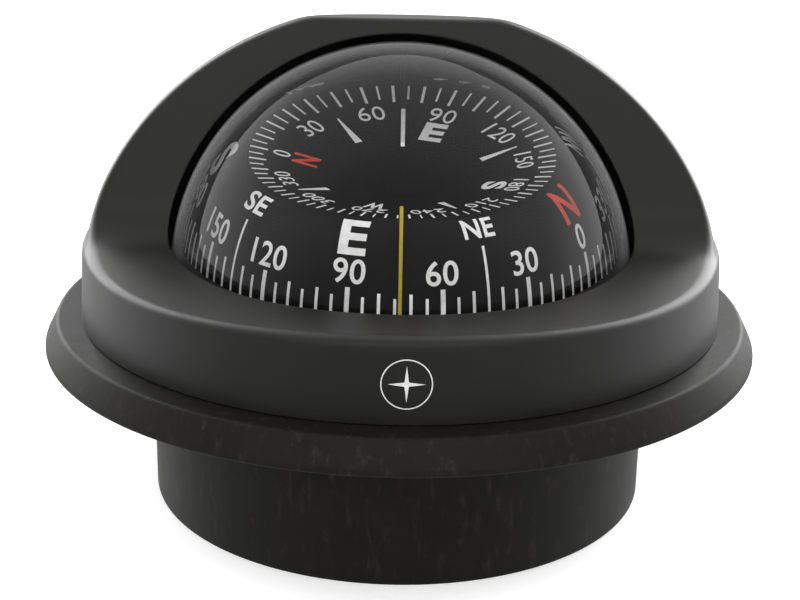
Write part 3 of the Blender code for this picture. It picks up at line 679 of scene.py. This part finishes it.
def buildHood():
    shape = HoodShape()
    centre, bore = dome["centre"], hood["bore"]
    tilt = math.radians(42)
    pole = np.array([0, -math.cos(tilt), math.sin(tilt)])
    up = np.array([0, math.sin(tilt), math.cos(tilt)])
    side = np.array([1.0, 0, 0])
    spokes = hood["spokes"]
    turns = math.tau * np.arange(spokes) / spokes
    low, collar = hood["shoulder"][0]
    end = angleAt((low - centre) / math.hypot(low - centre, collar), pole, up, side, turns)

    near = np.full(spokes, 0.05)  # the lip: where the skin's radius passes the bore's
    far = end - 0.01
    for _ in range(34):
        mid = (near + far) / 2
        radius = skinRadius(shape, spokeRays(mid[:, None], pole, up, side, turns))[:, 0]
        far = np.where(radius > bore, mid, far)
        near = np.where(radius > bore, near, mid)
    lip = (near + far) / 2

    share = np.linspace(0, 1, 300) ** 2.4
    angles = lip[:, None] + (end - lip)[:, None] * share
    rays = spokeRays(angles, pole, up, side, turns)
    spots = rays * skinRadius(shape, rays)[..., None]
    runs = np.linalg.norm(np.diff(spots, axis=1), axis=2)
    ways = np.diff(spots, axis=1) / np.maximum(runs, 1e-6)[..., None]
    bends = np.arccos(np.clip((ways[:, 1:] * ways[:, :-1]).sum(2), -1, 1))
    bends = np.pad(bends, ((0, 0), (1, 0)))
    bends[:, :3] = 0
    length = np.pad(np.cumsum(runs, axis=1), ((0, 0), (1, 0)))
    effort = np.pad(np.cumsum(runs / 2.6 + bends / math.radians(7), axis=1), ((0, 0), (1, 0)))
    rows = hood["rows"]
    skin = np.zeros((spokes, rows))
    for k in range(spokes):
        first = np.interp(hood["lipRound"], length[k], effort[k])
        wanted = np.linspace(first, effort[k][-1], rows)
        skin[k] = np.interp(wanted, effort[k], angles[k])
    rays = spokeRays(skin, pole, up, side, turns)
    outer = rays * skinRadius(shape, rays)[..., None]

    last = angleAt((hood["skirt"][1] - centre) / bore, pole, up, side, turns)
    setback = hood["lipRound"] / bore
    ball = lip[:, None] + setback + (last - lip - setback)[:, None] * np.linspace(0, 1, 40) ** 1.5
    inner = spokeRays(ball, pole, up, side, turns) * bore
    corner = spokeRays(lip[:, None], pole, up, side, turns) * bore
    lipRows = []
    for t in np.linspace(0, 1, 7)[1:-1]:
        lipRows.append((1 - t) ** 2 * inner[:, :1] + 2 * t * (1 - t) * corner + t * t * outer[:, :1])

    foot = outer[:, -1] / np.hypot(outer[:, -1, 0], outer[:, -1, 1])[:, None]
    top = inner[:, -1] / np.hypot(inner[:, -1, 0], inner[:, -1, 1])[:, None]
    wall, under = hood["skirt"]
    below = []
    for way, radius, z in ((foot, wall, low), (foot, wall, 0.5 * (low + under)), (top, wall, under)):
        ring = way * radius
        ring[:, 2] = z - centre
        below.append(ring[:, None])
    loop = np.concatenate([outer, *below, inner[:, ::-1], *lipRows], axis=1)
    loop[..., 2] += centre
    count = loop.shape[1]
    faces = []
    for k in range(spokes):
        for n in range(count):
            m = (n + 1) % count
            j = (k + 1) % spokes
            faces.append((k * count + n, k * count + m, j * count + m, j * count + n))
    mesh = meshOf("hoodShell", loop.reshape(-1, 3).tolist(), faces)
    mesh = carved("hood", mesh, boxMesh(*hood["lampWindow"]), boxMesh(*hood["lampPocket"]))
    return place("hoodShell", mesh, "hood", "root", "hood_plastic", ["hood"], bend=50)


buildHood()
print("hood built")


# Housing: can, flange and the upstand under the hood

housing = {
    "can": 60.0, "wall": 2.5, "flangeTop": 82.0, "rim": 1.3, "ledge": 50.0,
    "spigot": (70.9, 73.2, 49.5),  # inner and outer radius, level of its top
}
# For each ring of screws: its radius, the angle of its first screw and the radius of a hole.
screwRings = {"deck": (68, 45, 2.2), "clamp": (61.3, 0, 1.8), "base": (53.7, 45, 1.6)}


def screwHoles(ring, low, high):
    radius, first, bore = screwRings[ring]
    return drills(ringSpots(radius, 4, first), bore, low, high)


def buildHousing():
    wide = boxOf("housing")[1][0]
    under = boxOf("deck_gasket")[1][2] + 0.3
    deck = boxOf("hood")[0][2] - 0.3
    can, bore = housing["can"], housing["can"] - housing["wall"]
    inner, outer, top = housing["spigot"]
    crisp = [(bore, 0), (can, 0), (can, under), (wide, under), (wide, under + housing["rim"])]
    crisp += [(housing["flangeTop"], deck), (outer, deck), (outer, 47.2), (outer + 0.7, 48), (outer, 48.8)]
    crisp += [(outer - 0.5, top), (inner, top)]
    crisp += [(inner, deck), (bore, deck), (bore, 10)]
    crisp += [(housing["ledge"], 8), (housing["ledge"], 4.5), (bore, 4.5)]
    soft = softened(crisp, 0.7, 4)
    mesh = meshOf("housing", *spun(soft, 240))
    holes = joined(screwHoles("deck", 30, 46), screwHoles("clamp", 39.5, 46), screwHoles("base", 3.5, 10.5))
    mesh = carved("housing", mesh, holes)
    place("housingShell", mesh, "can", "root", "housing_plastic", ["housing"])


def buildGasket():
    low, high = boxOf("deck_gasket")
    outline = softened([(61, low[2]), (high[0], low[2]), (high[0], high[2]), (61, high[2])], 0.35)
    mesh = carved("gasket", meshOf("gasket", *spun(outline, 200)), screwHoles("deck", 30, 46))
    place("deckGasketRing", mesh, "rubber", "root", "rubber", ["deck_gasket"])


def buildBasePlate():
    low, high = boxOf("base_plate")
    rim = high[0]
    ribs = [(0, low[2]), (6, low[2]), (6.6, low[2] + 0.35), (12, low[2] + 0.35), (12.6, low[2])]
    outline = ribs + [(46, low[2]), (46.6, low[2] + 0.35), (47.4, low[2] + 0.35), (48, low[2])]
    outline += [(rim, low[2]), (rim, high[2]), (0, high[2])]
    adjusters = drills([(-7.1, -9), (-7.1, 9)], 2.7, 0, 6)
    leadHole = drills([(0, 40)], 4.0, 0, 6)
    holes = joined(screwHoles("base", 0, 6), adjusters, leadHole)
    mesh = carved("basePlate", meshOf("basePlate", *spun(softened(outline, 0.3, 2), 144)), holes)
    place("basePlateDisc", mesh, "can", "root", "housing_plastic", ["base_plate"])


buildHousing()
buildGasket()
buildBasePlate()
print("housing built")


# Dome: the outside bends light, the inside meets the liquid


def buildDome():
    low, high = boxOf("dome")
    centre, radius = dome["centre"], dome["radius"]
    inner = radius - dome["wall"]
    outline = arcLine((0, centre), radius, 0.6, 89.4, 64) + [(0, centre + radius), (0, centre + inner)]
    outline += arcLine((0, centre), inner, 89.4, 0.6, 60) + [(inner, low[2]), (high[0], low[2])]
    outline += [(high[0], 51.8), (radius + 0.4, 51.8), (radius, centre)]
    mesh = meshOf("dome", *spun(outline, 200))
    mesh = carved("dome", mesh, screwHoles("clamp", 44, 57))
    middle = Vector((0, 0, centre)) * mm
    piece = place("domeShell", mesh, ["acrylic", "liquid"], "root", "clear_acrylic", ["dome"])
    for face in mesh.polygons:
        reach = (face.center - middle).length / mm
        face.material_index = 1 if abs(reach - inner) < 0.6 else 0
    piece.visible_shadow = False
    return piece


def spareDome(piece):  # the panels light the plastic but don't mirror in the dome
    spared = bpy.data.collections.new("sparedPieces")
    spared.objects.link(piece)
    spared.collection_objects[0].light_linking.link_state = "EXCLUDE"
    for name, *_, gloss in studio["panels"]:
        if gloss:
            bpy.data.objects[name].light_linking.receiver_collection = spared


spareDome(buildDome())
print("dome built")


# Card: skirt, disc and printing

card = {
    "heading": 73.4,
    "skirt": ((36.5, 52.4), (36.4, 55.5), (36.0, 58.6), (35.3, 61.8), (34.2, 65.2), (32.7, 68.2),
              (30.6, 70.8), (28.6, 71.9)),
    "dish": ((27.7, 71.9), (21.4, 70.95), (14.9, 69.8), (9.0, 69.1), (0, 68.9)), "discThick": 0.75,
    "wall": 0.9, "inkTop": 0.06, "inkDepth": 0.14,
    "tickHeights": {5: 5.9, 10: 6.8, 30: 7.6}, "tickWidths": {5: 0.58, 10: 0.62, 30: 0.95},
    "longTick": (15.3, 0.55), "numeral": (8.4, 4.9), "cardinal": (14.0, 7.3), "between": (17.0, 4.2),
    "discTick": {5: 2.7, 10: 3.3}, "discTickWidth": {5: 0.3, 10: 0.42}, "discRim": 0.6,
    "letterWidths": {"N": 6.2, "E": 5.6, "S": 5.4, "W": 8.6}, "betweenWidth": 6.6,
    "discNumeral": (21.3, 3.1), "discLetter": (17.0, 4.6), "wedge": (14.9, 21.4, 1.3, 0.25),
}


def smoothLine(points, steps):  # a curve through the points, even in each stretch
    padded = [2 * Vector(points[0]) - Vector(points[1])] + [Vector(p) for p in points]
    padded.append(2 * Vector(points[-1]) - Vector(points[-2]))
    line = []
    for k in range(1, len(padded) - 2):
        a, b, c, d = padded[k - 1:k + 3]
        for step in range(steps):
            t = step / steps
            bend = (2 * a - 5 * b + 4 * c - d) * t * t + (3 * b - a - 3 * c + d) * t ** 3
            line.append(0.5 * (2 * b + (c - a) * t + bend))
    line.append(padded[-2])
    return line


skirtLine = smoothLine(card["skirt"], 8)
skirtRun = [0.0]
for first, second in zip(skirtLine, skirtLine[1:]):
    skirtRun.append(skirtRun[-1] + (second - first).length)


def skirtAt(up):  # radius, height and the outward direction, this far up the skirt
    k = 0
    while k < len(skirtRun) - 2 and skirtRun[k + 1] < up:
        k += 1
    way = (skirtLine[k + 1] - skirtLine[k]).normalized()
    spot = skirtLine[k] + way * (up - skirtRun[k])
    return spot, Vector((way.y, -way.x))


def onSkirt(degree, base=0.0, across=0.0):
    def lay(u, v, lift):
        spot, out = skirtAt(base + v)
        spot = spot + out * lift
        turn = math.radians(degree - card["heading"]) - (u + across) / spot.x
        return -spot.x * math.sin(turn), -spot.x * math.cos(turn), spot.y
    return lay


def onDisc(degree, reach):
    turn = math.radians(degree - card["heading"])
    radii = [radius for radius, _ in reversed(card["dish"])]
    levels = [z for _, z in reversed(card["dish"])]

    def lay(u, v, lift):
        r = reach + v
        x = r * math.sin(turn) + u * math.cos(turn)
        y = r * math.cos(turn) - u * math.sin(turn)
        return x, y, float(np.interp(math.hypot(x, y), radii, levels)) + lift
    return lay


def gridded(flat, step):  # cut a flat shape into strips, so that it can bend
    spots = [vert.co for vert in flat.verts]
    for axis in (0, 1):
        low = min(spot[axis] for spot in spots)
        high = max(spot[axis] for spot in spots)
        for k in range(1, int((high - low) / step) + 1):
            way = Vector((1, 0, 0)) if axis == 0 else Vector((0, 1, 0))
            everything = flat.verts[:] + flat.edges[:] + flat.faces[:]
            bmesh.ops.bisect_plane(flat, geom=everything, plane_co=way * (low + k * step), plane_no=way)
        spots = [vert.co for vert in flat.verts]
    return flat


def bar(width, height, top=None):  # upright bar that stands on v = 0; top is its width up there
    flat = bmesh.new()
    half, upper = width / 2, (width if top is None else top) / 2
    corners = [(-half, 0), (half, 0), (upper, height), (-upper, height)]
    flat.faces.new([flat.verts.new((x, y, 0)) for x, y in corners])
    return flat


def lettering(text, height, width=None, bold=0.02):  # centred on u = 0, standing on v = 0
    curve = bpy.data.curves.new("lettering", "FONT")
    curve.body = text
    curve.offset = bold
    curve.resolution_u = 5
    curve.space_character = 1.04
    item = bpy.data.objects.new("lettering", curve)
    bpy.context.scene.collection.objects.link(item)
    evaluated = item.evaluated_get(bpy.context.evaluated_depsgraph_get())
    flat = bmesh.new()
    flat.from_mesh(evaluated.to_mesh())
    bpy.data.objects.remove(item)
    bpy.data.curves.remove(curve)
    bmesh.ops.remove_doubles(flat, verts=flat.verts, dist=1e-5)
    xs = [vert.co.x for vert in flat.verts]
    ys = [vert.co.y for vert in flat.verts]
    tall = height / (max(ys) - min(ys))
    wide = tall if width is None else width / (max(xs) - min(xs))
    for vert in flat.verts:
        vert.co = ((vert.co.x - (max(xs) + min(xs)) / 2) * wide, (vert.co.y - min(ys)) * tall, 0)
    return flat


class Print:  # gathers thin raised shapes into one piece
    def __init__(self):
        self.points = []
        self.faces = []

    def add(self, flat, lay, step=None):
        if step:
            gridded(flat, step)
        flat.verts.index_update()
        start, count = len(self.points), len(flat.verts)
        for lift in (card["inkTop"], card["inkTop"] - card["inkDepth"]):
            self.points += [lay(vert.co.x, vert.co.y, lift) for vert in flat.verts]
        for face in flat.faces:
            ring = [vert.index + start for vert in face.verts]
            self.faces.append(ring)
            self.faces.append([k + count for k in reversed(ring)])
        for edge in flat.edges:
            if edge.is_boundary:
                loop = edge.link_loops[0]
                a, b = loop.vert.index + start, loop.link_loop_next.vert.index + start
                self.faces.append([b, a, a + count, b + count])
        flat.free()

    def done(self, name, finish, body, slot, nodes=()):
        return place(name, meshOf(name, self.points, self.faces), finish, body, slot, nodes)


def buildCardBody():
    foot, rim = skirtLine[0], skirtLine[-1]
    bore = card["dish"][0][0] + 0.25
    outside = [tuple(point) for point in skirtLine]
    inside = [(point.x - card["wall"], point.y - 0.3) for point in reversed(skirtLine[6:-13])]
    ledge = 25.6  # inner radius of the seat under the disc
    seat = [(bore, rim.y), (bore, rim.y - 1.5), (ledge, rim.y - 1.5), (ledge, rim.y - 2.6)]
    seat.append((bore + 0.6, rim.y - 2.6))
    outline = outside + seat + inside + [(foot.x - card["wall"], foot.y)]
    place("cardSkirt", meshOf("cardSkirt", *spun(outline, 216)), "card", "card", "card_black", ["card_skirt"])
    disc = list(card["dish"]) + [(radius, z - card["discThick"]) for radius, z in reversed(card["dish"])]
    mesh = meshOf("cardDisc", *spun(softened(disc, 0.2), 216))
    place("cardDisc", mesh, "card", "card", "card_black", ["card_top"])


def printSkirt():
    ticks, numerals, letters, north = [Print() for _ in range(4)]
    for degree in range(0, 360, 5):
        if degree % 90 == 45:
            height, width = card["longTick"]
        else:
            size = 30 if degree % 30 == 0 else 10 if degree % 10 == 0 else 5
            height, width = card["tickHeights"][size], card["tickWidths"][size]
        ticks.add(bar(width, height), onSkirt(degree, 0.12), 1.2)
    base, height = card["numeral"]
    for degree in range(0, 360, 30):
        numerals.add(lettering(str(degree), height, bold=0.012), onSkirt(degree, base), 0.9)
    base, height = card["cardinal"]
    widths = card["letterWidths"]
    for degree, letter in ((90, "E"), (180, "S"), (270, "W")):
        letters.add(lettering(letter, height, widths[letter], 0.03), onSkirt(degree, base), 0.9)
    north.add(lettering("N", height, widths["N"], 0.02), onSkirt(0, base), 0.9)
    base, height = card["between"]
    for degree, letter in ((45, "NE"), (135, "SE"), (225, "SW"), (315, "NW")):
        letters.add(lettering(letter, height, card["betweenWidth"], 0.022), onSkirt(degree, base), 0.9)
    ticks.done("skirtTicks", "white", "card", "white_paint")
    numerals.done("skirtNumerals", "white", "card", "white_paint")
    letters.done("skirtLetters", "white", "card", "white_paint")
    north.done("skirtNorth", "red", "card", "white_paint")


def printDisc():
    ticks, numerals, letters, north = [Print() for _ in range(4)]
    edge = boxOf("card_top")[1][0] - card["discRim"]
    for degree in range(0, 360, 5):
        size = 10 if degree % 10 == 0 else 5
        length = card["discTick"][size]
        ticks.add(bar(card["discTickWidth"][size], length), onDisc(degree, edge - length), 1.0)
    reach, height = card["discNumeral"]
    for degree in range(0, 360, 30):
        numerals.add(lettering(str(degree), height, bold=-0.004), onDisc(degree, reach - height / 2), 1.2)
    reach, height = card["discLetter"]
    for degree, letter in ((90, "E"), (180, "S"), (270, "W")):
        letters.add(lettering(letter, height, height * 0.8, 0.035), onDisc(degree, reach - height / 2), 1.2)
    north.add(lettering("N", height, height * 0.8, 0.02), onDisc(0, reach - height / 2), 1.2)
    inner, outer, thick, thin = card["wedge"]
    for degree in (45, 135, 225, 315):
        letters.add(bar(thick, outer - inner, thin), onDisc(degree, inner), 1.2)
    ticks.done("discTicks", "white", "card", "white_paint")
    numerals.done("discNumerals", "white", "card", "white_paint")
    letters.done("discLetters", "white", "card", "white_paint")
    north.done("discNorth", "red", "card", "white_paint")


buildCardBody()
printSkirt()
printDisc()
print("card printed")


# Emblem on the collar: a plain four-point star in a thin circle

emblem = {"height": 53.7, "aside": 1.6, "radius": 5.2, "line": 0.24, "star": 3.8, "waist": 0.62}


def buildEmblem():
    low, collar = hood["shoulder"][0]
    high, narrow = hood["shoulder"][1]

    def onCollar(u, v, lift):
        u += emblem["aside"]
        z = emblem["height"] + v
        radius = collar + (narrow - collar) * (z - low) / (high - low) + lift * 0.5
        return radius * math.sin(u / radius), -radius * math.cos(u / radius), z

    mark = Print()
    ring = bmesh.new()
    turns = [math.tau * k / 96 for k in range(96)]
    rims = []
    for radius in (emblem["radius"] - emblem["line"], emblem["radius"]):
        rims.append([ring.verts.new((radius * math.cos(a), radius * math.sin(a), 0)) for a in turns])
    for k in range(96):
        j = (k + 1) % 96
        ring.faces.new([rims[0][k], rims[0][j], rims[1][j], rims[1][k]])
    mark.add(ring, onCollar)
    star = bmesh.new()
    middle = star.verts.new((0, 0, 0))
    tips = []
    for k in range(8):
        reach = emblem["star"] if k % 2 == 0 else emblem["waist"]
        angle = math.tau * k / 8 + math.pi / 2
        tips.append(star.verts.new((reach * math.cos(angle), reach * math.sin(angle), 0)))
    for k in range(8):
        star.faces.new([middle, tips[k], tips[(k + 1) % 8]])
    mark.add(star, onCollar, 0.6)
    mark.done("collarEmblem", "emblem", "root", "white_paint")


buildEmblem()


# Everything else keeps its CAD shape, with softened edges


def dressNode(name, finish, width):
    node = frame["nodes"][name]
    mesh = node.data
    mesh.materials.clear()
    mesh.materials.append(finishes[finish])
    if "custom_normal" in mesh.attributes:
        mesh.attributes.remove(mesh.attributes["custom_normal"])
    mesh.shade_smooth()
    weld = node.modifiers.new("weld", "WELD")
    weld.merge_threshold = 0.000002
    bevel = node.modifiers.new("bevel", "BEVEL")
    bevel.width = width * mm
    bevel.segments = 2
    bevel.limit_method = "ANGLE"
    bevel.angle_limit = math.radians(32)
    bevel.harden_normals = True


softEdges = {"cradle": 0.3, "gimbal_ring": 0.35, "gimbal_carrier": 0.3, "ballast_weight": 0.4}


def dressNodes():
    for part in frame["record"]["subparts"]:
        name = part["node"]
        if not frame["nodes"][name].hide_render:
            dressNode(name, slotFinish[part["material_slot"]], softEdges.get(name, 0.12))


dressNodes()
print("nodes dressed")
